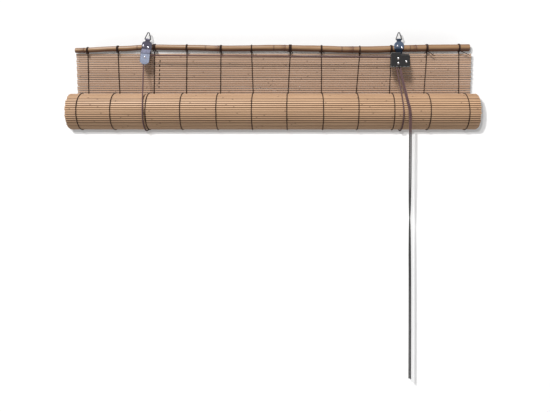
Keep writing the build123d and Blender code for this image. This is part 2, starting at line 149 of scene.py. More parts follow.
def circle(centre, across, up, radius, sides):
    """A ring of points round centre, in the plane of across and up."""
    ring = []
    for j in range(sides):
        angle = 2 * math.pi * j / sides
        ring.append(centre + across * (radius * math.cos(angle)) + up * (radius * math.sin(angle)))
    return ring


def carried_frames(path, closed=False):
    """At each point of a path, its direction and two cross directions that never spin."""
    count = len(path)
    frames = []
    across = None
    for i, here in enumerate(path):
        before = path[i - 1] if i or closed else here
        after = path[(i + 1) % count] if i < count - 1 or closed else here
        along = (after - before).normalized()
        if across is None:
            seed = Vector((1, 0, 0)) if abs(along.x) < 0.9 else Vector((0, 0, 1))
            across = along.cross(seed).normalized()
        else:
            across = (across - along * across.dot(along)).normalized()
        frames.append((along, across, along.cross(across)))
    return frames


def tube_rings(path, radius, sides, closed=False):
    """Rings of a round tube along a path."""
    rings = []
    for i, (here, (_, across, up)) in enumerate(zip(path, carried_frames(path, closed))):
        r = radius[i] if isinstance(radius, list) else radius
        rings.append(circle(here, across, up, r, sides))
    return rings


def lathe_rings(profile, sides, relief=lambda j, radius: 0.0):
    """Rings of a turned part on the local -Y axis, from its (radius, y) profile."""
    rings = []
    for j in range(sides):
        angle = 2 * math.pi * j / sides
        ring = []
        for radius, y in profile:
            r = radius + relief(j, radius)
            ring.append(Vector((r * math.cos(angle), y, r * math.sin(angle))))
        rings.append(ring)
    return rings


def bent_sheet_rings(middle, span, thickness, edge, columns, place):
    """Rings round a bent strip of sheet metal: middle is its (u, v) line, span gives the low and
    high edge at each point, and place turns (u, v, across) into a point."""
    rings = []
    count = len(middle)
    for i, (u, v) in enumerate(middle):
        u0, v0 = middle[max(i - 1, 0)]
        u1, v1 = middle[min(i + 1, count - 1)]
        length = math.hypot(u1 - u0, v1 - v0)
        nu, nv = -(v1 - v0) / length, (u1 - u0) / length
        half = thickness / 2 - (edge if i in (0, count - 1) else 0)
        low, high = span(i)
        low_e, high_e = low + edge, high - edge
        inner = [(low, -half + edge), (low_e, -half)]
        outer = [(high, half - edge), (high_e, half)]
        for c in range(1, columns):
            share = c / columns
            inner.append((low_e + (high_e - low_e) * share, -half))
            outer.append((high_e + (low_e - high_e) * share, half))
        inner += [(high_e, -half), (high, -half + edge)]
        outer += [(low_e, half), (low, half - edge)]
        rings.append([place(u + nu * off, v + nv * off, across) for across, off in inner + outer])
    return rings


def finish_piece(name, shape, material, body, nodes, sharp=38):
    """Makes the mesh object, lets it ride on its body and stand for its CAD nodes."""
    mesh = bpy.data.meshes.new(name)
    mesh.from_pydata([tuple(c * mm for c in p) for p in shape.points], [], shape.faces)
    for mark, values in shape.marks.items():
        mesh.attributes.new(mark, "FLOAT", "POINT").data.foreach_set("value", values)
    work = bmesh.new()
    work.from_mesh(mesh)
    bmesh.ops.recalc_face_normals(work, faces=work.faces)
    work.to_mesh(mesh)
    work.free()
    mesh.shade_smooth()
    mesh.set_sharp_from_angle(angle=math.radians(sharp))
    mesh.materials.append(material)
    piece = bpy.data.objects.new(name, mesh)
    scene.collection.objects.link(piece)
    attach(piece, body)
    if nodes:
        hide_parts(*nodes)
    return piece


def box_mm(node):
    low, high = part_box(node)
    return low / mm, high / mm


def points_mm(node):
    return [v.co / mm for v in frame["nodes"][node].data.vertices]


# ==== materials ========================================================================
def add(tree, kind, **settings):
    made = tree.nodes.new(kind)
    for key, value in settings.items():
        setattr(made, key, value)
    return made


def feed(tree, value, socket):
    """Links an output into a socket, or sets the socket to a plain value."""
    if isinstance(value, bpy.types.NodeSocket):
        tree.links.new(value, socket)
    else:
        socket.default_value = value


def calc(tree, operation, a, b=0.0, clamp=False):
    made = add(tree, "ShaderNodeMath", operation=operation, use_clamp=clamp)
    feed(tree, a, made.inputs[0])
    feed(tree, b, made.inputs[1])
    return made.outputs[0]


def weighted(tree, base, *terms, clamp=False):
    """A value with others added to it, each times its own weight."""
    for value, weight in terms:
        base = calc(tree, "ADD", base, calc(tree, "MULTIPLY", value, weight), clamp)
    return base


def blend_colours(tree, share, a, b):
    made = add(tree, "ShaderNodeMix", data_type="RGBA")
    feed(tree, share, made.inputs[0])
    feed(tree, a, made.inputs[6])
    feed(tree, b, made.inputs[7])
    return made.outputs[2]


def soft_step(tree, value, low, high, to_low=0.0, to_high=1.0):
    made = add(tree, "ShaderNodeMapRange", interpolation_type="SMOOTHSTEP")
    for socket, given in zip(made.inputs, (value, low, high, to_low, to_high)):
        feed(tree, given, socket)
    return made.outputs[0]


def noise_value(tree, vector, scale, detail, roughness):
    """Noise over a place; a scale of three numbers stretches it."""
    if isinstance(scale, tuple):
        spread = add(tree, "ShaderNodeMapping")
        feed(tree, vector, spread.inputs["Vector"])
        spread.inputs["Scale"].default_value = scale
        vector, scale = spread.outputs["Vector"], 1.0
    made = add(tree, "ShaderNodeTexNoise")
    for socket, value in (("Vector", vector), ("Scale", scale), ("Detail", detail),
                          ("Roughness", roughness)):
        feed(tree, value, made.inputs[socket])
    return made.outputs["Fac"]


def new_group(name, colours, values):
    """A shader node group with named inputs, which puts out a colour, a roughness and a height."""
    tree = bpy.data.node_groups.new(name, "ShaderNodeTree")
    sockets = [(socket, "INPUT", "NodeSocketColor") for socket in colours]
    sockets += [(socket, "INPUT", "NodeSocketFloat") for socket in values]
    sockets += [("Color", "OUTPUT", "NodeSocketColor"), ("Roughness", "OUTPUT", "NodeSocketFloat"),
                ("Height", "OUTPUT", "NodeSocketFloat")]
    for socket, way, kind in sockets:
        tree.interface.new_socket(name=socket, in_out=way, socket_type=kind)
    return tree, tree.nodes.new("NodeGroupInput").outputs, tree.nodes.new("NodeGroupOutput").inputs


def bamboo_grain_group():
    """Fibres along X, slow mottling, a tone for each cane (painted shade on the pole), a dark mark
    at the cane's nodes, and painted shade at slat edges.
    """
    tree, given, out = new_group("bamboo_grain", ["Light", "Dark", "Mark"],
                                 ["Node Spacing", "Tone", "Phase", "Edge", "Specks"])
    place = add(tree, "ShaderNodeTexCoord").outputs["Object"]
    fibres = noise_value(tree, place, (14, 1500, 1500), 5.0, 0.65)
    streaks = noise_value(tree, place, (5, 330, 330), 3.0, 0.55)
    mottle = noise_value(tree, place, (11, 40, 40), 2.0, 0.5)
    mixed = weighted(tree, 0.0, (fibres, 0.5), (streaks, 0.35), (mottle, 0.35),
                     (given["Tone"], 0.75))
    share = soft_step(tree, mixed, 0.5, 1.45)
    colour = blend_colours(tree, share, given["Light"], given["Dark"])

    # a ring at every node of the cane, as wide as its scar
    split = add(tree, "ShaderNodeSeparateXYZ")
    feed(tree, place, split.inputs[0])
    spacing = given["Node Spacing"]
    turns = calc(tree, "DIVIDE", calc(tree, "ADD", split.outputs["X"], given["Phase"]), spacing)
    saw = calc(tree, "SUBTRACT", turns, calc(tree, "FLOOR", turns))
    off = calc(tree, "MULTIPLY", calc(tree, "ABSOLUTE", calc(tree, "SUBTRACT", saw, 0.5)), spacing)
    ring = soft_step(tree, off, 0.0006, 0.0022, 1.0, 0.0)

    specks = noise_value(tree, place, (260, 900, 900), 2.0, 0.5)
    specks = calc(tree, "MULTIPLY", soft_step(tree, specks, 0.74, 0.79), given["Specks"])
    stain_and_shade = calc(tree, "MAXIMUM", calc(tree, "MULTIPLY", ring, 0.55), specks)
    # the slats' edges darken towards the mark colour: painted shade for the gaps between slats
    stain_and_shade = calc(tree, "MAXIMUM", stain_and_shade, calc(tree, "MULTIPLY", given["Edge"], 0.85))
    feed(tree, blend_colours(tree, stain_and_shade, colour, given["Mark"]), out["Color"])
    feed(tree, weighted(tree, 0.36, (fibres, 0.3), (stain_and_shade, 0.2)), out["Roughness"])
    feed(tree, weighted(tree, 0.0, (fibres, 0.7), (ring, 0.8)), out["Height"])
    return tree


def metal_wear_group():
    """Clouded plating, fine scratches, dull grime, painted shade where a piece's mark asks for it,
    and bright edges where the metal is rubbed.
    """
    tree, given, out = new_group("metal_wear", ["Base", "Rubbed", "Stain And Shade"],
                                 ["Smoothness", "Wear", "Painted Shade"])
    place = add(tree, "ShaderNodeTexCoord").outputs["Object"]
    clouds = noise_value(tree, place, 420.0, 4.0, 0.6)
    grime = noise_value(tree, place, 130.0, 5.0, 0.65)
    scratches = noise_value(tree, place, (900, 900, 5200), 3.0, 0.7)
    edge = soft_step(tree, add(tree, "ShaderNodeNewGeometry").outputs["Pointiness"], 0.515, 0.60)
    rub = weighted(tree, 0.0, (edge, given["Wear"]), (soft_step(tree, scratches, 0.60, 0.78), 0.35),
                   clamp=True)
    # the darker of the grime noise and the piece's painted shade mark
    dirt_and_shade = calc(tree, "MAXIMUM", soft_step(tree, grime, 0.54, 0.78), given["Painted Shade"])
    rub = calc(tree, "MULTIPLY", rub, calc(tree, "SUBTRACT", 1.0, dirt_and_shade))
    colour = blend_colours(tree, calc(tree, "MULTIPLY", dirt_and_shade, 0.9), given["Base"], given["Stain And Shade"])
    feed(tree, blend_colours(tree, rub, colour, given["Rubbed"]), out["Color"])
    feed(tree, weighted(tree, calc(tree, "SUBTRACT", 1.0, given["Smoothness"]),
                        (calc(tree, "SUBTRACT", clouds, 0.5), 0.35), (dirt_and_shade, 0.15), clamp=True),
         out["Roughness"])
    feed(tree, weighted(tree, 0.0, (clouds, 0.6), (scratches, 0.4)), out["Height"])
    return tree


def yarn_fibre_group():
    """Twisted fibres: painted shade in the grooves between strands, with fuzz, and greyer where a
    cord hangs below the roll.
    """
    tree, given, out = new_group("yarn_fibre", ["Light", "Dark"], ["Relief", "Fade"])
    place = add(tree, "ShaderNodeTexCoord").outputs["Object"]
    fuzz = noise_value(tree, place, 3800.0, 3.0, 0.7)
    wear = noise_value(tree, place, 60.0, 3.0, 0.55)
    # the relief mark darkens the grooves between strands: painted shade
    mixed = weighted(tree, 0.0, (given["Relief"], 0.6), (fuzz, 0.5), (wear, 0.35))
    share = soft_step(tree, mixed, 0.35, 1.15)
    colour = blend_colours(tree, share, given["Dark"], given["Light"])
    greyed = blend_colours(tree, share, (0.018, 0.017, 0.017, 1), (0.085, 0.080, 0.080, 1))
    feed(tree, blend_colours(tree, given["Fade"], colour, greyed), out["Color"])
    feed(tree, weighted(tree, 0.65, (fuzz, 0.25)), out["Roughness"])
    feed(tree, fuzz, out["Height"])
    return tree


def surface(name, group, values, bump, distance, **constants):
    """A material whose group feeds its colour, roughness and bump; a value that is a name is a mark
    of the mesh, and constants sit on the shader's own sockets."""
    material = bpy.data.materials.new(name)
    material.use_nodes = True
    tree = material.node_tree
    shader = tree.nodes["Principled BSDF"]
    made = add(tree, "ShaderNodeGroup", node_tree=group)
    for socket, value in values.items():
        if isinstance(value, str):
            mark = add(tree, "ShaderNodeAttribute", attribute_name=value)
            tree.links.new(mark.outputs["Fac"], made.inputs[socket])
        else:
            made.inputs[socket].default_value = (*value, 1) if isinstance(value, tuple) else value
    tree.links.new(made.outputs["Color"], shader.inputs["Base Color"])
    tree.links.new(made.outputs["Roughness"], shader.inputs["Roughness"])
    relief = add(tree, "ShaderNodeBump")
    relief.inputs["Strength"].default_value = bump
    relief.inputs["Distance"].default_value = distance
    tree.links.new(made.outputs["Height"], relief.inputs["Height"])
    tree.links.new(relief.outputs["Normal"], shader.inputs["Normal"])
    for socket, value in constants.items():
        shader.inputs[socket.replace("_", " ")].default_value = value
    return material


bamboo_grain = bamboo_grain_group()
metal_wear = metal_wear_group()
yarn_fibre = yarn_fibre_group()


def bamboo(name, light, dark, mark, node_spacing, specks, bump, depth, coat, coat_roughness):
    return surface(name, bamboo_grain,
                   {"Light": light, "Dark": dark, "Mark": mark, "Node Spacing": node_spacing,
                    "Tone": "tone", "Phase": "phase", "Edge": "edge", "Specks": specks},
                   bump, depth, Coat_Weight=coat, Coat_Roughness=coat_roughness, IOR=1.45)


def yarn(name, light, dark, fade, bump):
    return surface(name, yarn_fibre,
                   {"Light": light, "Dark": dark, "Relief": "relief", "Fade": fade},
                   bump, 0.0001, IOR=1.4)


slat_bamboo = bamboo(
    "slat_bamboo", (0.62, 0.41, 0.28), (0.36, 0.23, 0.15), (0.085, 0.04, 0.022),
    node_spacing=0.23, specks=0.5, bump=0.35, depth=0.0002, coat=0.10, coat_roughness=0.4)
rolled_bamboo = bamboo(
    "rolled_bamboo", (0.72, 0.455, 0.27), (0.45, 0.262, 0.145), (0.075, 0.033, 0.016),
    node_spacing=0.26, specks=0.12, bump=0.35, depth=0.0002, coat=0.12, coat_roughness=0.35)
pole_bamboo = bamboo(
    "pole_bamboo", (0.31, 0.178, 0.087), (0.115, 0.046, 0.022), (0.06, 0.02, 0.012),
    node_spacing=0.137, specks=0.3, bump=0.5, depth=0.0003, coat=0.12, coat_roughness=0.3)
thread_yarn = yarn("thread_yarn", (0.050, 0.019, 0.010), (0.011, 0.005, 0.003), fade=0.0,
                   bump=0.5)
cord_yarn = yarn("cord_yarn", (0.15, 0.080, 0.082), (0.040, 0.023, 0.025), fade="fade",
                 bump=0.4)


def metal(name, base, rubbed, stain_and_shade, smoothness, wear, metallic=1.0):
    # a piece's shade mark is painted shade; the stain colour serves both the grime noise and that
    # painted shade
    return surface(name, metal_wear,
                   {"Base": base, "Rubbed": rubbed, "Stain And Shade": stain_and_shade, "Smoothness": smoothness,
                    "Wear": wear, "Painted Shade": "grime"},
                   0.25, 0.00006, Metallic=metallic)


ring_wire = metal(
    "ring_wire", (0.075, 0.075, 0.085), (0.30, 0.30, 0.33), (0.06, 0.055, 0.055),
    smoothness=0.60, wear=0.6)
grey_strap = metal(
    "grey_strap", (0.155, 0.148, 0.195), (0.38, 0.37, 0.44), (0.05, 0.045, 0.06),
    smoothness=0.58, wear=0.6)
blued_strap = metal(
    "blued_strap", (0.16, 0.21, 0.31), (0.42, 0.48, 0.58), (0.004, 0.006, 0.012),
    smoothness=0.62, wear=0.7)
nail_steel = metal(
    "nail_steel", (0.78, 0.77, 0.84), (0.95, 0.95, 0.98), (0.30, 0.27, 0.26),
    smoothness=0.72, wear=0.5)
pulley_steel = metal(
    "pulley_steel", (0.46, 0.51, 0.66), (0.74, 0.78, 0.88), (0.055, 0.052, 0.075),
    smoothness=0.55, wear=0.5)
black_steel = metal(
    "black_steel", (0.022, 0.021, 0.022), (0.30, 0.30, 0.29), (0.016, 0.012, 0.010),
    smoothness=0.52, wear=0.6, metallic=0.35)
rivet_steel = metal(
    "rivet_steel", (0.66, 0.65, 0.66), (0.92, 0.90, 0.88), (0.20, 0.16, 0.13),
    smoothness=0.70, wear=0.5)
cam_steel = metal(
    "cam_steel", (0.30, 0.29, 0.28), (0.66, 0.64, 0.60), (0.10, 0.07, 0.05),
    smoothness=0.58, wear=0.8)
roller_brass = metal(
    "roller_brass", (0.48, 0.33, 0.12), (0.78, 0.60, 0.28), (0.13, 0.08, 0.03),
    smoothness=0.62, wear=0.7)
wheel_nylon = metal(
    "wheel_nylon", (0.70, 0.67, 0.58), (0.80, 0.78, 0.70), (0.34, 0.29, 0.21),
    smoothness=0.55, wear=0.4, metallic=0.0)


# ==== camera, light, wall and floor ====================================================
def add_camera():
    camera = bpy.data.objects.new("camera", bpy.data.cameras.new("camera"))
    scene.collection.objects.link(camera)
    camera.location = (0.031, -1.116, -0.1731)
    camera.rotation_euler = (math.radians(89.0), 0, 0)
    camera.data.lens = 36.33
    camera.data.sensor_width = 36
    camera.data.shift_x = -0.0258
    camera.data.shift_y = -0.14
    camera.data.clip_start = 0.01
    camera.data.clip_end = 50
    scene.camera = camera


def point_at(lamp, towards):
    lamp.rotation_euler = Vector(towards).to_track_quat("-Z", "Y").to_euler()
    scene.collection.objects.link(lamp)
    return lamp


def add_sun(name, towards, softness, strength):
    """A broad, even light; softness is how wide it looks, in degrees."""
    light = bpy.data.lights.new(name, "SUN")
    light.energy = strength
    light.angle = math.radians(softness)
    return point_at(bpy.data.objects.new(name, light), towards)


def add_panel(name, place, aim, size, power):
    light = bpy.data.lights.new(name, "AREA")
    light.shape = "RECTANGLE"
    light.size, light.size_y = size
    light.energy = power
    lamp = bpy.data.objects.new(name, light)
    lamp.location = place
    return point_at(lamp, Vector(aim) - Vector(place))


def add_flash(name, place, radius, strength):
    """A small lamp beside the camera, as bright far away as near."""
    light = bpy.data.lights.new(name, "POINT")
    light.shadow_soft_size = radius
    light.energy = 1
    light.use_nodes = True
    tree = light.node_tree
    even = add(tree, "ShaderNodeLightFalloff")
    even.inputs["Strength"].default_value = strength
    tree.links.new(even.outputs["Constant"], tree.nodes["Emission"].inputs["Strength"])
    lamp = bpy.data.objects.new(name, light)
    lamp.location = place
    scene.collection.objects.link(lamp)
    return lamp


def set_reach(lamp, wall, state):
    """Keeps a light off the wall, or on the wall alone."""
    group = bpy.data.collections.new(lamp.name + "_reach")
    group.objects.link(wall)
    group.collection_objects[0].light_linking.link_state = state
    lamp.light_linking.receiver_collection = group


def add_world():
    world = bpy.data.worlds.new("room")
    world.use_nodes = True
    background = world.node_tree.nodes["Background"]
    background.inputs["Color"].default_value = (1, 1, 1, 1)
    background.inputs["Strength"].default_value = 0.22
    scene.world = world


def stage_plane(name, corners, material):
    mesh = bpy.data.meshes.new(name)
    mesh.from_pydata(corners, [], [(0, 1, 2, 3)])
    mesh.materials.append(material)
    plane = bpy.data.objects.new(name, mesh)
    scene.collection.objects.link(plane)
    return plane


def mixed_shader(tree, share, a, b):
    made = add(tree, "ShaderNodeMixShader")
    for output, socket in zip((share, a, b), made.inputs):
        tree.links.new(output, socket)
    return made.outputs[0]


def wall_paint():
    """White paint that is seen only from the room, and lights the back of the blind evenly."""
    material = bpy.data.materials.new("wall_paint")
    material.use_nodes = True
    tree = material.node_tree
    tree.nodes.remove(tree.nodes["Principled BSDF"])
    paint = add(tree, "ShaderNodeBsdfDiffuse")
    paint.inputs["Color"].default_value = (0.93, 0.93, 0.93, 1)
    lift, glow = add(tree, "ShaderNodeEmission"), add(tree, "ShaderNodeEmission")
    lift.inputs["Strength"].default_value = 0.03
    glow.inputs["Strength"].default_value = 0.30
    lifted = add(tree, "ShaderNodeAddShader")
    tree.links.new(paint.outputs[0], lifted.inputs[0])
    tree.links.new(lift.outputs[0], lifted.inputs[1])
    clear = add(tree, "ShaderNodeBsdfTransparent").outputs[0]
    rays = add(tree, "ShaderNodeLightPath").outputs
    behind = add(tree, "ShaderNodeNewGeometry").outputs["Backfacing"]
    seen = mixed_shader(tree, rays["Is Camera Ray"], glow.outputs[0], lifted.outputs[0])
    sided = mixed_shader(tree, behind, seen, clear)
    unshaded = mixed_shader(tree, rays["Is Shadow Ray"], sided, clear)
    tree.links.new(unshaded, tree.nodes["Material Output"].inputs["Surface"])
    return material


def floor_paint():
    material = bpy.data.materials.new("floor_paint")
    material.use_nodes = True
    shader = material.node_tree.nodes["Principled BSDF"]
    shader.inputs["Base Color"].default_value = (0.55, 0.55, 0.55, 1)
    shader.inputs["Roughness"].default_value = 0.8
    return material


def add_stage():
    """The wall, the floor, two lights for the blind that keep off the wall, and two flashes that
    light the wall alone."""
    wall_gap, floor_drop, side = 0.035, 0.9, 4.0
    wall_y, floor_z = cad_high.y + wall_gap, cad_low.z - floor_drop
    wall = stage_plane("wall", [(-side, wall_y, floor_z), (side, wall_y, floor_z),
                                (side, wall_y, side), (-side, wall_y, side)], wall_paint())
    stage_plane("floor", [(-side, -side, floor_z), (side, -side, floor_z), (side, side, floor_z),
                          (-side, side, floor_z)], floor_paint())
    key = add_sun("key", (0.31, 0.62, -0.94), softness=14, strength=4.3)
    fill = add_panel("front_fill", (0.2, -2.0, -0.1), aim=(0.0, 0.0, -0.2), size=(1.8, 1.4),
                     power=3.8)
    near = add_flash("near_flash", (-0.02, -1.15, -0.09), radius=0.015, strength=10.8)
    far = add_flash("far_flash", (-0.095, -1.15, -0.03), radius=0.02, strength=21.5)
    for lamp, state in ((key, "EXCLUDE"), (fill, "EXCLUDE"), (near, "INCLUDE"), (far, "INCLUDE")):
        set_reach(lamp, wall, state)


# ==== the bamboo pieces ================================================================
chance = random.Random(7)
curtain_out = Vector((0, -math.cos(curtain_lean), -math.sin(curtain_lean)))
curtain_up = Vector((0, -math.sin(curtain_lean), math.cos(curtain_lean)))


def wander(x, seed, wavelength, size):
    """Slow, smooth unevenness along a cane."""
    return size * (noise.noise(Vector((x / wavelength, seed * 7.31, 0.5))) * 2)


# a slat's section: shares of its half thickness and half height, and how much painted shade its
# edge takes, for the dark gaps between slats
SLAT_OUTLINE = [
    (-0.70, -0.96, 1.0), (0.0, -1.0, 1.0), (0.50, -0.93, 1.0), (0.82, -0.74, 0.7),
    (0.97, -0.44, 0.2), (1.02, 0.0, 0.0), (0.97, 0.44, 0.15), (0.82, 0.74, 0.6), (0.50, 0.93, 1.0),
    (0.0, 1.0, 1.0), (-0.70, 0.96, 1.0), (-0.98, 0.58, 0.5), (-1.0, 0.0, 0.15), (-0.98, -0.58, 0.5),
]
SLAT_EDGE_SHADE = [edge for _, _, edge in SLAT_OUTLINE]


def slat_rings(centre, outward, upward, left, right, seed, sections, height=slat_height):
    """One split cane: rounded skin outside, flatter behind, never quite straight or even."""
    t, h, chamfer = slat_thickness / 2, height / 2, 0.35
    spots = [left, left + chamfer]
    spots += [left + (right - left) * i / sections for i in range(1, sections)]
    spots += [right - chamfer, right]
    rings = []
    for i, x in enumerate(spots):
        cut = 0.90 if i in (0, len(spots) - 1) else 1.0
        high = h * cut * (1 + wander(x, seed, 90, 0.035))
        thick = t * cut * (1 + wander(x, seed + 50, 70, 0.05))
        rise = wander(x, seed + 100, 160, 0.13)
        proud = wander(x, seed + 150, 120, 0.08)
        middle = centre + outward * proud + upward * rise
        rings.append([Vector((x, 0, 0)) + middle + outward * (a * thick) + upward * (b * high)
                      for a, b, _ in SLAT_OUTLINE])
    return rings


def add_slat(shape, rings):
    """Adds a slat with a tone and a place along the cane of its own."""
    # the edge mark carries the painted shade along the slat's edges
    shape.add(rings, tone=0.1 + 0.4 * chance.random(), phase=chance.random(),
              edge=[SLAT_EDGE_SHADE] * len(rings))


def curtain_slat(number):
    """One slat of the flat part, in the place of its solid."""
    node = f"slat_{number:02d}"
    low, high = box_mm(node)
    middle = (low + high) / 2
    centre = Vector((0, middle.y, middle.z))
    shape = Shape()
    add_slat(shape, slat_rings(centre, curtain_out, curtain_up, low.x, high.x, number, sections=96))
    finish_piece(f"cane_{node}", shape, slat_bamboo, "blind", [node])


def roll_axis():
    low, high = box_mm("bottom_pole")
    return (low.y + high.y) / 2, (low.z + high.z) / 2


def roll_steps():
    """Each slat in the roll, outermost first: its middle's angle and radius, and its half turn."""
    steps = []
    full_radius = roll_radius - slat_thickness / 2
    radius, turned = full_radius, 0.0
    while radius > roll_core_radius:
        half = math.asin(roll_slat_pitch / 2 / radius)
        steps.append((curtain_lean - turned - half, radius * math.cos(half), half))
        turned += 2 * half
        radius = full_radius - roll_turn_pitch * turned / (2 * math.pi)
    return steps


def rolled_slats():
    """Every slat in the roll; only those that show bend along their length."""
    axis_y, axis_z = roll_axis()
    low, high = box_mm("bamboo_roll")
    height = slat_height - slat_pitch + roll_slat_pitch - 0.35
    uneven_ends = 1.5
    shape = Shape()
    for k, (angle, radius, _) in enumerate(roll_steps()):
        outward = Vector((0, math.cos(angle), math.sin(angle)))
        upward = Vector((0, math.sin(angle), -math.cos(angle)))
        centre = Vector((0, axis_y, axis_z)) + outward * radius
        left = low.x + uneven_ends * chance.random()
        right = high.x - uneven_ends * chance.random()
        sections = 72 if k <= outer_turn_slats else 3
        add_slat(shape, slat_rings(centre, outward, upward, left, right, 200 + k, sections, height))
    finish_piece("rolled_slats", shape, rolled_bamboo, "blind", ["bamboo_roll"])


def pole_stations():
    """Where the head pole's sections are: x, the middle's height, and the radius there."""
    groups = {}
    for p in points_mm("head_pole"):
        groups.setdefault(round(p.x, 1), []).append(p)
    stations = []
    for x, ring in sorted(groups.items()):
        high, low = max(p.z for p in ring), min(p.z for p in ring)
        wide = max(p.y for p in ring) - min(p.y for p in ring)
        if len(ring) >= 12 and abs(high - low - wide) < 0.2:
            stations.append((x, (high + low) / 2, (high - low) / 2))
    return stations


def between(stations, x):
    """The values at x, in line between the stations on each side of it."""
    for (x0, *a), (x1, *b) in zip(stations, stations[1:]):
        if x <= x1:
            share = min(max((x - x0) / (x1 - x0), 0), 1)
            return [u + (v - u) * share for u, v in zip(a, b)]
    return stations[-1][1:]


POLE = pole_stations()
pole_front_y = box_mm("head_pole")[0].y


def pole_middle(x):
    """The y and height of the head pole's middle at x, and its radius there; the ridges at its
    nodes stand out past the rest of its front."""
    height, radius = between(POLE, x)
    return pole_front_y + pole_ridge + radius, height, radius


def nearness(x, spots, shift, width):
    """1 where x is shift short of a spot, and falling to 0 over a few widths."""
    return max((math.exp(-(((x - spot + shift) / width) ** 2)) for spot in spots), default=0)


def head_pole():
    """A thin culm with ridged nodes, sheath scars, shallow flutes and open ends."""
    sides = 40
    node_spots = [POLE[i][0] for i in range(1, len(POLE) - 1)
                  if POLE[i][2] > max(POLE[i - 1][2], POLE[i + 1][2]) + 0.3]
    left, right, sections = POLE[0][0], POLE[-1][0], 440
    spots = [left + (right - left) * i / sections for i in range(sections + 1)]
    for spot in node_spots:
        spots += [spot + d for d in (-2.4, -1.6, -1.0, -0.5, 0.0, 0.4, 0.8, 1.3, 2.0, 2.8)]
    spots = sorted(x for x in spots if left <= x <= right)
    rings, tones = [], []
    for x in spots:
        y, height, radius = pole_middle(x)
        ring, tone = [], []
        scar = nearness(x, node_spots, 0, 0.9)
        blush = nearness(x, node_spots, 2, 5.5)
        groove = nearness(x, node_spots, -1.3, 0.45)
        for j in range(sides):
            angle = 2 * math.pi * j / sides
            out, up = math.cos(angle), math.sin(angle)
            flute = 0.10 * noise.noise(Vector((x / 60, out * 2.2, up * 2.2)))
            dent = 0.22 * noise.noise(Vector((x / 22, out, up + 9)))
            r = radius + flute + dent - 0.35 * groove + 0.12 * scar
            ring.append(Vector((x, y + r * out, height + r * up)))
            # painted shade: the pole's tone darkens on its underside, and a little on its top
            under_shade = min(max((-0.02 - up) / 0.5, 0), 1)
            top_shade = 0.5 * min(max(up - 0.35, 0) / 0.4, 1)
            tone.append(0.05 + 0.80 * under_shade * under_shade * (3 - 2 * under_shade) + top_shade + 0.4 * scar
                        + 0.3 * groove + 0.45 * blush)
        rings.append(ring)
        tones.append(tone)

    def inward(ring, share, shift):
        middle = sum(ring, Vector()) / len(ring)
        return [middle + (p - middle) * share + Vector((shift, 0, 0)) for p in ring]

    # the open ends, from inside the bore to the rim: share of the radius, how far in, and tone; the
    # dark tone deep in the bore is painted shade in the hollow
    bore = [(0.30, 7, 1.0), (0.34, 0.6, 0.9), (0.40, 0.0, 0.1), (0.92, 0.0, 0.1)]
    first = [inward(rings[0], share, deep) for share, deep, _ in bore]
    last = [inward(rings[-1], share, -deep) for share, deep, _ in reversed(bore)]
    rings = (first + [inward(rings[0], 1.0, 0.35)] + rings[1:-1] + [inward(rings[-1], 1.0, -0.35)]
             + last)
    bore_tones = [[tone] * sides for _, _, tone in bore]
    shape = Shape().add(rings, tone=bore_tones + tones + bore_tones[::-1], phase=0.0685)
    finish_piece("culm_head_pole", shape, pole_bamboo, "blind", ["head_pole"])


def bottom_pole():
    """The thin rod in the middle of the roll, with softened ends."""
    low, high = box_mm("bottom_pole")
    axis_y, axis_z = roll_axis()
    radius = (high.z - low.z) / 2
    ends = ((0, 0.86), (0.5, 0.97), (1.4, 1.0))
    sections, straight = 60, high.x - low.x - 2.8
    spots = [(low.x + x, radius * share) for x, share in ends]
    spots += [(low.x + 1.4 + straight * i / sections, radius * (1 - 0.02 * abs(math.sin(i * 0.7))))
              for i in range(1, sections)]
    spots += [(high.x - x, radius * share) for x, share in reversed(ends)]
    rings = [circle(Vector((x, axis_y, axis_z)), Vector((0, 1, 0)), Vector((0, 0, 1)), r, 28)
             for x, r in spots]
    shape = Shape().add(rings, tone=0.3, phase=0.2)
    finish_piece("rod_bottom_pole", shape, pole_bamboo, "blind", ["bottom_pole"])


# ==== threads ==========================================================================
def strand_along_slats(foot_x, tie_x, parity, drift_seed):
    """One of a thread's two strands: over a slat, through the gap, behind the next slat, and so on
    down the flat part and once round the roll."""
    samples, bite, sidestep, drift, roll_drift = 6, 0.22, 0.3, 0.35, 1.3
    top_low, top_high = box_mm("slat_01")
    low_low, low_high = box_mm(f"slat_{slat_count:02d}")
    top, bottom = (top_low + top_high) / 2, (low_low + low_high) / 2
    down = (bottom - top) / (slat_count - 1)
    axis_y, axis_z = roll_axis()
    reach = slat_thickness / 2 + thread_radius - bite

    def crossing(i, u, x):
        """The strand's x when it is u of the way past slat i, and how far it stands off it."""
        side = 1 if (i + parity) % 2 == 0 else -1
        x += side * sidestep * math.cos(math.pi * u)
        x += drift * noise.noise(Vector((i * 0.7, drift_seed, 0)))
        return x, side * reach * math.sqrt(max(math.sin(math.pi * u), 0))

    path = []
    for i in range(slat_count):
        middle = Vector((0, top.y, top.z)) + Vector((0, down.y, down.z)) * i
        for s in range(samples):
            u = s / samples
            x, lift = crossing(i, u, tie_x + (foot_x - tie_x) * ((i + u) / slat_count))
            here = middle + Vector((0, down.y, down.z)) * (u - 0.5) + curtain_out * lift
            path.append(Vector((x, here.y, here.z)))
    for k, (angle, radius, half) in enumerate(roll_steps()[:outer_turn_slats]):
        for s in range(samples):
            u = s / samples
            x, lift = crossing(slat_count + k, u, foot_x)
            x += roll_drift * noise.noise(Vector((k * 0.06, drift_seed, 3)))
            # the curtain's front turns inward as it rolls, so the outside of the roll is its back
            r = radius - lift
            here_angle = angle + half * (1 - 2 * u)
            path.append(Vector((x, axis_y + r * math.cos(here_angle),
                                axis_z + r * math.sin(here_angle))))
    return path


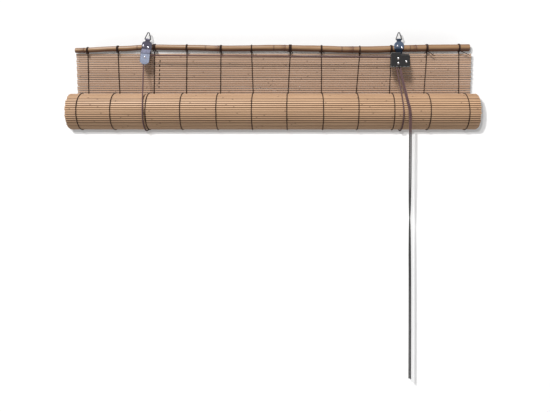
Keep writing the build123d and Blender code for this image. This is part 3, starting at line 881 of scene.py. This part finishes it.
def pole_wrap(tie_x, turns):
    """A strand wound round the pole."""
    steps, lay = 26, 1.25 * thread_radius
    start_x = tie_x - 0.62 * thread_radius * turns
    y, height, radius = pole_middle(tie_x)
    r = radius + tie_gap + tie_radius
    path = []
    for i in range(int(steps * turns) + 1):
        angle = -math.pi / 2 - 2 * math.pi * i / steps
        path.append(Vector((start_x + lay * i / steps, y + r * math.cos(angle),
                            height + r * math.sin(angle))))
    return path


def knot_rings(centre):
    """A small overhand knot."""
    size, steps = 0.42, 36
    path = []
    for i in range(steps):
        t = 2 * math.pi * i / steps
        path.append(centre + Vector((math.sin(t) + 2 * math.sin(2 * t), 0.9 * math.sin(3 * t) - 0.4,
                                     math.cos(t) - 2 * math.cos(2 * t))) * size)
    return tube_rings(path, thread_radius * 0.9, 7, closed=True)


def thread_tail(start, reach, lift, curl):
    """A short cut end that sticks out from a knot."""
    steps = 8
    path = []
    for i in range(steps + 1):
        u = i / steps
        path.append(start + Vector((reach * u, -0.8 * math.sin(u * 3),
                                    lift * u + curl * math.sin(u * 5) * 0.5)))
    return path


# how many turns the threads take round the pole, and how far along and up their cut ends reach,
# where they aren't as the others
usual_turns, tie_turns = 2.5, {2: 3.5, 3: 4.5, 5: 3.5, 6: 1.5, 7: 4.5, 9: 1.5, 10: 3.5, 11: 3.5}
usual_tails = ((-2.6, -2.2), (2.2, -2.8))
tie_tails = {3: ((-3.0, -3.5), (8.0, -4.5)), 7: ((-6.0, -2.6), (5.5, -3.6)),
             8: ((-5.0, -1.5), (6.0, -2.4)), 11: ((-7.0, -5.0), (15.0, -9.0)),
             12: ((-2.5, -3.0), (19.0, -6.5))}
loose_end_thread = 3


def binding_thread(number):
    """Two strands twined down the curtain, tied round the pole with a knot and two cut ends."""
    node = f"thread_{number:02d}"
    cloud = points_mm(node)
    high_z, low_z = max(p.z for p in cloud), min(p.z for p in cloud)
    tied = [p.x for p in cloud if p.z > high_z - 1.5]
    foot = [p.x for p in cloud if p.z < low_z + 1.0]
    tie_x, foot_x = sum(tied) / len(tied), sum(foot) / len(foot)
    y, height, radius = pole_middle(tie_x)
    under = Vector((tie_x, y, height - radius - tie_gap - thread_radius))
    shape = Shape()
    for parity, side in ((0, -1), (1, 1)):
        strand = strand_along_slats(foot_x, tie_x, parity, number * 3.7)
        lead = [under + Vector((side * 1.7, side * 1.6, 0.4)),
                (under + strand[0]) / 2 + Vector((side * 0.8, side, 0))]
        shape.add(tube_rings(lead + strand, thread_radius, 6), relief=0.5)
    wrap = pole_wrap(tie_x, tie_turns.get(number, usual_turns))
    shape.add(tube_rings(wrap, tie_radius, 7), relief=0.5)
    knot = under + Vector((0.2, -radius * 0.62, radius * 0.25 - 0.4))
    shape.add(knot_rings(knot), closed=True, capped=False, relief=0.7)
    for side, (reach, lift) in zip((-1, 1), tie_tails.get(number, usual_tails)):
        tail = thread_tail(knot, reach, lift, side * 0.9)
        shape.add(tube_rings(tail, tail_radius, 6), relief=0.3)
    if number == loose_end_thread:
        spare = strand_along_slats(foot_x + 8.5, tie_x + 11.5, 1, 77.7)[14:94]
        shape.add(tube_rings(spare, tail_radius, 6), relief=0.4)
    finish_piece(f"twined_{node}", shape, thread_yarn, "blind", [node], sharp=60)


# ==== hangers ==========================================================================
def mount_place(name):
    return next(Vector(m["pos_m"]) / mm for m in frame["record"]["mounts"] if m["name"] == name)


left_place = (Matrix.Translation(mount_place("left_ring_eye"))
              @ Matrix.Rotation(left_hanger_lean, 4, "Y"))
right_place = Matrix.Translation(mount_place("right_ring_eye"))


def rounded_corners(corners, radii, steps):
    """A closed outline in X and Z whose corners are arcs."""
    path = []
    count = len(corners)
    for i, (corner, radius) in enumerate(zip(corners, radii)):
        here = Vector(corner)
        back = (Vector(corners[i - 1]) - here).normalized()
        ahead = (Vector(corners[(i + 1) % count]) - here).normalized()
        half = back.angle(ahead) / 2
        centre = here + (back + ahead).normalized() * (radius / math.sin(half))
        start = here + back * (radius / math.tan(half)) - centre
        end = here + ahead * (radius / math.tan(half)) - centre
        sweep = math.pi - 2 * half
        normal = start.cross(end).normalized()
        for k in range(steps + 1):
            path.append(centre + Matrix.Rotation(sweep * k / steps, 3, normal) @ start)
    return path


def wire_ring(name, node, place, body):
    """A triangle of round wire, butted in the middle of its bar."""
    side = math.radians(20)
    apex_radius, corner_radius, half_gap, bar_end = 1.6, 1.1, 0.12, 2.0
    apex_middle = wire_radius - apex_radius
    half = apex_radius / math.cos(side) + (apex_middle + ring_bar_drop) * math.tan(side)
    tip = apex_middle + apex_radius / math.sin(side)
    corners = [(half, 0, -ring_bar_drop), (0, 0, tip), (-half, 0, -ring_bar_drop)]
    bends = rounded_corners(corners, [corner_radius, apex_radius, corner_radius], 10)
    path = [Vector((half_gap, 0, -ring_bar_drop)), Vector((bar_end, 0, -ring_bar_drop))]
    for a, b in zip(bends, bends[1:]):
        steps = max(1, int((b - a).length / 1.2))
        path += [a + (b - a) * k / steps for k in range(steps)]
    path += [bends[-1], Vector((-bar_end, 0, -ring_bar_drop)),
             Vector((-half_gap, 0, -ring_bar_drop))]
    radii = [wire_radius * 0.93] + [wire_radius] * (len(path) - 2) + [wire_radius * 0.93]
    shape = Shape().add(tube_rings(path, radii, 16)).moved(place)
    finish_piece(name, shape, ring_wire, body, [node])


def arc(centre, radius, start, end, steps):
    return [(centre[0] + radius * math.cos(math.radians(start + (end - start) * k / steps)),
             centre[1] + radius * math.sin(math.radians(start + (end - start) * k / steps)))
            for k in range(steps + 1)]


def densified(line, step):
    """The same line with more points on its straight stretches."""
    dense = [line[0]]
    for (u0, v0), (u1, v1) in zip(line, line[1:]):
        count = max(1, round(math.hypot(u1 - u0, v1 - v0) / step))
        dense += [(u0 + (u1 - u0) * k / count, v0 + (v1 - v0) * k / count)
                  for k in range(1, count + 1)]
    return dense


def hanger_strap(name, node, place, material, grime, leg_width, leg_drop, fullness):
    """One strip of steel folded over the ring's bar: narrow neck, shoulder, long leg. The shoulder
    is round at a fullness of 2 and squarer above that."""
    thickness, neck_half, shoulder_radius, shoulder_drop = 1.0, 4.2, 10.1, 27.4
    bend = wire_radius + 0.1 + thickness / 2
    tail_end = -ring_bar_drop - 4.5
    line = [(bend, tail_end)] + arc((0, -ring_bar_drop), bend, 0, 180, 14) + [(-bend, -leg_drop)]
    line = densified(line, 0.8)
    corner = leg_width / 4

    def span(i):
        y, z = line[i]
        half = neck_half
        if y < 0 and z < -ring_bar_drop:
            off = min(abs(z + shoulder_drop) / shoulder_radius, 1)
            swell = shoulder_radius * (1 - off**fullness) ** (1 / fullness)
            half = max(half, swell)
            if z < -shoulder_drop:
                half = max(swell, leg_width / 2)
            low = z + leg_drop
            if low < corner:
                half = leg_width / 2 - corner + math.sqrt(max(corner**2 - (corner - low) ** 2, 0))
        return -half, half

    def at(y, z, x):
        dent = 0.07 * noise.noise(Vector((x * 0.16, z * 0.16, 4.2)))
        return Vector((x, y + dent, z))

    rings = bent_sheet_rings(line, span, thickness, 0.16, 12, at)
    # the strap's mark is painted shade, given by the function passed in
    shape = Shape().add(rings, grime=[grime(z) for _, z in line]).moved(place)
    finish_piece(name, shape, material, "blind", [node], sharp=50)


# painted shade on the grey strap: darker at the neck fold round the ring's bar, and a little lower
# down the leg
def grey_strap_shade(z):
    return 0.6 * ramp(z, -19, -14) + 0.35 * ramp(z, -29, -34)


# painted shade on the blued strap: dark at the neck fold round the ring's bar and down the leg
def blued_strap_shade(z):
    return 0.85 * ramp(z, -19.5, -15) + ramp(z, -27, -33)


nail_sides = 28


def domed_nail(x, z, seat_y, head_radius, head_height, shank_radius, shank_length):
    """A round-headed nail that points to +Y, as a stack of rings."""
    profile = [(0.0008, -head_height)]
    dome = (head_radius**2 + head_height**2) / (2 * head_height)
    for k in range(1, 9):
        r = head_radius * k / 8 * 0.985
        profile.append((r, -head_height + dome - math.sqrt(dome**2 - r**2)))
    profile += [(head_radius, -0.06), (head_radius - 0.08, 0.0), (shank_radius, 0.0),
                (shank_radius, shank_length * 0.82), (shank_radius * 0.25, shank_length)]
    centre = Vector((x, seat_y, z))
    across, up = Vector((1, 0, 0)), Vector((0, 0, 1))
    return [circle(centre + Vector((0, y, 0)), across, up, r, nail_sides) for r, y in profile]


strap_front = -2.0
strap_back = -1.0


def hanger_nails(name, node, place, spots):
    shape = Shape()
    for x, z in spots:
        shape.add(domed_nail(x, z, strap_front, head_radius=2.4, head_height=1.3, shank_radius=0.9,
                             shank_length=7.5))
    finish_piece(name, shape.moved(place), nail_steel, "blind", [node])


# ==== the pulley =======================================================================
pulley_drop = 49.8
pulley_y = -4.3


def pulley_cover():
    """A pressed cover: sloping band at the top, flat face and round bottom."""
    thickness, half_width, bottom, bottom_radius = 0.8, 9.5, 64.0, 10.25
    face_y = -7.0
    line = [(-2.35, -33.4), (-2.75, -34.5), (face_y + 0.5, -40.9)]
    line += arc((face_y + 1.2, -42.1), 1.2, 125, 180, 5) + [(face_y, -bottom)]
    line = densified(line, 0.7)

    def span(i):
        _, z = line[i]
        half = half_width
        off = -(z + bottom - bottom_radius)
        if off > 0:
            half = min(half, math.sqrt(max(bottom_radius**2 - off**2, 0.04)))
        return -half, half

    def at(y, z, x):
        dent = 0.10 * noise.noise(Vector((x * 0.2, z * 0.2, 1.7)))
        return Vector((x, y + 0.3 * max(abs(x) - 8.6, 0) + dent, z))

    rings = bent_sheet_rings(line, span, thickness, 0.14, 22, at)
    # painted shade: the sloping band and its bend at the top are dark, and the face darkens towards
    # its round bottom
    grime = [ramp(z, -43.6, -42.2) + 0.3 * ramp(z, -55, -63) for _, z in line]
    shape = Shape().add(rings, grime=grime).moved(left_place)
    finish_piece("pulley_cover", shape, pulley_steel, "blind", ["pulley_housing"],
                 sharp=50)


def headed_axle(x, z, front_y, back_y, radius):
    """An axle with a domed head in front and a peened one behind."""
    head_radius, head_height, peen = 2.4, 1.2, 0.9
    rings = domed_nail(x, z, front_y, head_radius, head_height, radius, back_y - front_y)[:-2]
    for r, y in ((radius, 0), (head_radius * 0.72, 0), (head_radius * 0.8, 0.2),
                 (head_radius * 0.76, peen - 0.2), (head_radius * 0.5, peen), (0.001, peen)):
        rings.append(circle(Vector((x, back_y + y, z)), Vector((1, 0, 0)), Vector((0, 0, 1)), r,
                            nail_sides))
    return rings


def pulley_axle():
    shape = Shape().add(headed_axle(0, -pulley_drop, -7.4, strap_back, 1.25)).moved(left_place)
    finish_piece("pulley_headed_axle", shape, nail_steel, "blind", ["pulley_axle"])


def groove_profile(pitch, groove, flange, middle_y):
    """Down one wall of a groove, round its bottom and up the other wall."""
    points = [(flange, middle_y - groove)]
    for k in range(9):
        angle = math.pi * k / 8
        points.append((pitch - groove * math.sin(angle), middle_y - groove * math.cos(angle)))
    return points + [(flange, middle_y + groove)]


def wheel(name, node, place, body, pitch, flange, bore, width, grooves, middle_y):
    """A grooved wheel with softened lips and a shallow recess in each face."""
    low, high = middle_y - width / 2, middle_y + width / 2
    hub, recess = bore + 0.75, 0.25
    face = [(bore, 0.1), (bore + 0.1, 0), (hub, 0), (hub + 0.15, recess), (flange - 0.7, recess),
            (flange - 0.5, 0), (flange - 0.15, 0), (flange, 0.15)]
    profile = [(r, low + deep) for r, deep in face]
    for y in grooves:
        profile += groove_profile(pitch, 1.5, flange, y)
    profile += [(r, high - deep) for r, deep in reversed(face)]
    shape = Shape().add(lathe_rings(profile, 56), closed=True, capped=False).moved(place)
    finish_piece(name, shape, wheel_nylon, body, [node], sharp=35)


# ==== the cord lock ====================================================================
lock_left, lock_right = 233.4, 271.2
lock_bottom, lock_left_top, lock_right_top, lock_back_top = -69.3, -40.5, -46.2, -42.5
lock_step_x = 252.4
lock_wheel_x, lock_wheel_z, lock_roller_z = 248.0, -52.2, -61.7
cam_x, cam_z = 263.9, -58.4
lock_wheel_y, lock_inner_half = -6.9, 3.8
lock_front_y = -11.8


def lock_case():
    """One sheet folded round the right side: back plate, side, and front plate with a step."""
    thickness, bend, step_slope = 0.8, 0.8, 0.25
    back_y, front_y, side_x = -2.4, -11.4, lock_right - 0.4
    line = [(lock_left, back_y)] + arc((side_x - bend, back_y - bend), bend, 90, 0, 6)
    line += arc((side_x - bend, front_y + bend), bend, 0, -90, 6)
    line += [(lock_step_x + step_slope, front_y), (lock_step_x - step_slope, front_y),
             (lock_left, front_y)]
    line = densified(line, 0.9)
    corner = 1.2

    def span(i):
        x, y = line[i]
        top = lock_back_top
        if y < back_y - 1.2:
            top = lock_right_top
        if y < back_y - 1.2 and x < lock_step_x:
            top = lock_left_top
        low = lock_bottom
        near = x - lock_left
        if near < corner:
            cut = corner - math.sqrt(corner**2 - (corner - near) ** 2)
            top, low = top - cut, low + cut
        return low, top

    def at(x, y, z):
        curl = 0.0
        if y < -9 and x > lock_step_x:
            curl = -0.45 * max(0, 1 - (lock_right_top - z) / 1.6) ** 2
        dent = 0.06 * noise.noise(Vector((x * 0.15, z * 0.15, 8.8)))
        return Vector((x, y + curl + dent, z))

    shape = Shape().add(bent_sheet_rings(line, span, thickness, 0.14, 26, at))
    finish_piece("lock_case", shape, black_steel, "blind", ["lock_housing"],
                 sharp=50)


def lock_rivets():
    shape = Shape()
    for x, z, back_y in ((lock_wheel_x, lock_wheel_z, strap_back),
                         (lock_wheel_x, lock_roller_z, strap_back), (cam_x, cam_z, strap_front)):
        shape.add(headed_axle(x, z, lock_front_y, back_y, radius=1.2))
    finish_piece("lock_case_rivets", shape, rivet_steel, "blind", ["lock_rivets"])


def lock_roller():
    """A brass roller with fine knurling."""
    low, high = lock_wheel_y - lock_inner_half, lock_wheel_y + lock_inner_half
    bore, face, skin, chamfer = 1.25, 1.8, 2.0, 0.3
    profile = [(bore, low), (face, low), (skin, low + chamfer)]
    profile += [(skin, low + chamfer + 7.0 * k / 14) for k in range(1, 14)]
    profile += [(skin, high - chamfer), (face, high), (bore, high)]

    def knurl(j, radius):
        if radius < skin:
            return 0
        return 0.05 if j % 3 == 0 else -0.03

    rings = lathe_rings(profile, 72, knurl)
    place = Matrix.Translation((lock_wheel_x, 0, lock_roller_z))
    shape = Shape().add(rings, closed=True, capped=False).moved(place)
    finish_piece("knurled_roller", shape, roller_brass, "lock_roller", ["lock_roller"])


def lock_cam():
    """The cam: a toothed nose on an arm, a hub on the rivet, and a heavier tail."""
    nose_x, nose_height, neck_x, arm = 253.0, 4.4, 255.6, 1.2
    low, high = lock_roller_z - nose_height / 2, lock_roller_z + nose_height / 2
    hub, tail, tooth = 2.6, 6.1, 1.1
    outline = [(neck_x, lock_roller_z + arm), (neck_x, high), (nose_x, high)]
    for k in range(4):
        outline.append((nose_x + 0.7, high - (k + 0.5) * tooth))
        outline.append((nose_x, high - (k + 1) * tooth))
    outline += [(neck_x, low), (neck_x, lock_roller_z - arm)]
    outline += arc((cam_x, cam_z), hub, 210, 270, 4) + arc((cam_x, cam_z), tail, -90, 0, 9)
    outline += [(cam_x + tail, cam_z + 9.2), (cam_x + 5.3, cam_z + 10.0),
                (cam_x + 0.8, cam_z + 10.0), (cam_x, cam_z + 9.2)]
    outline += arc((cam_x, cam_z), hub, 90, 150, 4)
    low_y, high_y, soft = lock_wheel_y - lock_inner_half, lock_wheel_y + lock_inner_half, 0.2

    def ring(y, inset):
        points = []
        count = len(outline)
        for i, (x, z) in enumerate(outline):
            x0, z0 = outline[i - 1]
            x1, z1 = outline[(i + 1) % count]
            tangent = Vector((x1 - x0, 0, z1 - z0)).normalized()
            inward = Vector((-tangent.z, 0, tangent.x))
            points.append(Vector((x, y, z)) + inward * inset)
        return points

    def area(points):
        return sum(a.x * b.z - b.x * a.z for a, b in zip(points, points[1:] + points[:1]))

    inset = soft if abs(area(ring(0, soft))) < abs(area(ring(0, 0))) else -soft
    rings = [ring(low_y, inset), ring(low_y + soft, 0), ring(high_y - soft, 0), ring(high_y, inset)]
    shape = Shape().add(rings)
    finish_piece("toothed_cam", shape, cam_steel, "lock_cam", ["lock_cam"], sharp=35)


# ==== cords and staples ================================================================
def route_points(name, points):
    """The smooth line of a cord, read from a NURBS spline on its route."""
    curve = bpy.data.curves.new(name, "CURVE")
    curve.dimensions = "3D"
    spline = curve.splines.new("NURBS")
    spline.points.add(len(points) - 1)
    for control, (x, y, z) in zip(spline.points, points):
        control.co = (x * mm, y * mm, z * mm, 1)
    spline.order_u = 3
    spline.use_endpoint_u = True
    spline.resolution_u = 24
    holder = bpy.data.objects.new(name, curve)
    scene.collection.objects.link(holder)
    bpy.context.view_layer.update()
    shown = holder.evaluated_get(bpy.context.evaluated_depsgraph_get())
    found = [v.co / mm for v in bpy.data.meshes.new_from_object(shown).vertices]
    bpy.data.objects.remove(holder)
    return found


def evenly(points, step):
    """Points at equal distances along a line."""
    spots = [points[0]]
    left = step
    for a, b in zip(points, points[1:]):
        length = (b - a).length
        while left <= length:
            spots.append(a + (b - a) * (left / length))
            left += step
        left -= length
    return spots


def lift_cord(name, node, points):
    """A braided cord: strands cross over and under all along it."""
    step, sides, carriers, lay_length, greying_length = 0.45, 16, 4, 5.6, 12
    path = evenly(route_points(name + "_route", points), step)
    roll_foot_z = box_mm("bamboo_roll")[0].z
    radius = cord_diameter / 2
    rings, reliefs = [], []
    for i, (here, (_, across, up)) in enumerate(zip(path, carried_frames(path))):
        ring, relief = [], []
        for j in range(sides):
            angle = 2 * math.pi * j / sides
            turn = 2 * math.pi * i * step / lay_length
            one = math.cos(carriers * (angle + turn))
            two = math.cos(carriers * (angle - turn))
            height = max(one, two) * 0.5 + 0.5 * one * two
            r = radius * (1.04 + 0.05 * height)
            if i == 0 or i == len(path) - 1:
                r *= 0.86
            ring.append(here + across * (r * math.cos(angle)) + up * (r * math.sin(angle)))
            # relief: lighter on the strands' crowns, darker in the grooves between them, as painted
            # shade
            relief.append(0.5 + 0.5 * height)
        rings.append(ring)
        reliefs.append(relief)
    # the cord's colour turns grey over this length below the roll's foot
    fade = [ramp(here.z, roll_foot_z, roll_foot_z - greying_length) for here in path]
    shape = Shape().add(rings, relief=reliefs, fade=fade)
    piece = finish_piece(name, shape, cord_yarn, "blind", [node], sharp=80)


def cord_staples():
    """Wire staples over the cords, behind the pole."""
    shape = Shape()
    cloud = points_mm("cord_staples")
    for centre_x in (LEFT_CORD[0][0], RIGHT_CORD[0][0]):
        own = [p for p in cloud if abs(p.x - centre_x) < 10]
        low, high = (Vector([pick(p[i] for p in own) for i in range(3)]) for pick in (min, max))
        r = (high.z - low.z) / 2
        z, crown = (high.z + low.z) / 2, high.y - r
        left, right, bend = low.x + r, high.x - r, 0.9
        line = [(left, low.y)] + arc((left + bend, crown - bend), bend, 180, 90, 6)
        line += arc((right - bend, crown - bend), bend, 90, 0, 6) + [(right, low.y)]
        path = [Vector((x, y, z)) for x, y in line]
        shape.add(tube_rings(path, r, 10))
    finish_piece("wire_staples", shape, nail_steel, "blind", ["cord_staples"])


# ==== everything is made ===============================================================
add_camera()
add_world()
add_stage()

lift_cord("left_braided_cord", "left_lift_cord", LEFT_CORD)
lift_cord("right_braided_cord", "right_lift_cord", RIGHT_CORD)
cord_staples()
for number in range(1, slat_count + 1):
    curtain_slat(number)
rolled_slats()
head_pole()
bottom_pole()
for number in range(1, thread_count + 1):
    binding_thread(number)
wire_ring("left_wire_ring", "left_ring", left_place, "left_ring")
wire_ring("right_wire_ring", "right_ring", right_place, "right_ring")
hanger_strap("left_folded_strap", "left_hanger_strap", left_place, grey_strap,
             grey_strap_shade, leg_width=16.0, leg_drop=62.0, fullness=3.6)
hanger_strap("right_folded_strap", "right_hanger_strap", right_place, blued_strap,
             blued_strap_shade, leg_width=13.0, leg_drop=67.5, fullness=2.4)
hanger_nails("left_round_nails", "left_hanger_nails", left_place, [(-6.9, -26.9), (2.7, -29.1)])
hanger_nails("right_round_nails", "right_hanger_nails", right_place, [(-3.2, -26.0), (6.4, -30.0)])
pulley_cover()
pulley_axle()
wheel("grooved_pulley", "pulley_wheel", left_place @ Matrix.Translation((0, 0, -pulley_drop)),
      "pulley_wheel", pitch=4.0, flange=5.4, bore=1.3, width=4.0, grooves=[pulley_y],
      middle_y=pulley_y)
wheel("twin_groove_wheel", "lock_wheel", Matrix.Translation((lock_wheel_x, 0, lock_wheel_z)),
      "lock_wheel", pitch=3.5, flange=4.7, bore=1.25, width=2 * lock_inner_half,
      grooves=[lock_wheel_y - 1.8, lock_wheel_y + 1.8], middle_y=lock_wheel_y)
lock_case()
lock_rivets()
lock_roller()
lock_cam()
